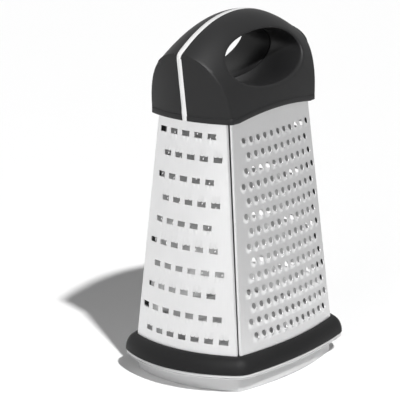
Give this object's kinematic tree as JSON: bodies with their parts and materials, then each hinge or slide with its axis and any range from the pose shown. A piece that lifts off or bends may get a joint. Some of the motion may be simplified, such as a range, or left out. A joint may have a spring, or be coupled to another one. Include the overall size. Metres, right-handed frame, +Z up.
{
  "type": "box grater",
  "caption": "Four-sided steel box grater with bowed tapering faces, an arched black handle with a finger hole, a soft base ring and a catch tray below.",
  "frame": {"origin": "middle of the tray's flat underside, on the surface the grater stands on", "axes": "+Z up, X along the broad faces and the handle's arch, Y across; the coarse narrow face looks to -X, the medium broad face to -Y"},
  "size_m": [0.1584, 0.1186, 0.2556],
  "materials": {
    "tray_plastic": "translucent milky polypropylene, satin",
    "frame_plastic": "grey moulded plastic, hidden frame",
    "soft_grip": "black soft-touch rubber, satin",
    "sheet_steel": "stainless steel sheet, satin, stamped teeth",
    "rivet_steel": "stainless rivets, bright",
    "screw_steel": "zinc plated steel screws",
    "handle_plastic": "black satin moulded plastic",
    "trim_plastic": "pale silver-white plastic inlay, satin"
  },
  "bodies": {
    "tray": {"tray": "tray_plastic"},
    "grater": {"base_frame": "frame_plastic", "base_grip": "soft_grip", "panel_retainer": "frame_plastic", "coarse_panel": "sheet_steel", "medium_panel": "sheet_steel", "fine_panel": "sheet_steel", "slicer_panel": "sheet_steel", "seam_rivets_front_left": "rivet_steel", "seam_rivets_front_right": "rivet_steel", "seam_rivets_rear_left": "rivet_steel", "seam_rivets_rear_right": "rivet_steel", "crown_plate": "frame_plastic", "crown_screws": "screw_steel", "handle_front_shell": "handle_plastic", "handle_rear_shell": "handle_plastic", "locating_pins": "screw_steel", "trim_strip": "trim_plastic"}
  },
  "joints": [
    {"name": "tray_release", "type": "slide", "parent": "tray", "child": "grater", "axis": [0, 0, 1], "range_m": [0, 0.04]}
  ]
}
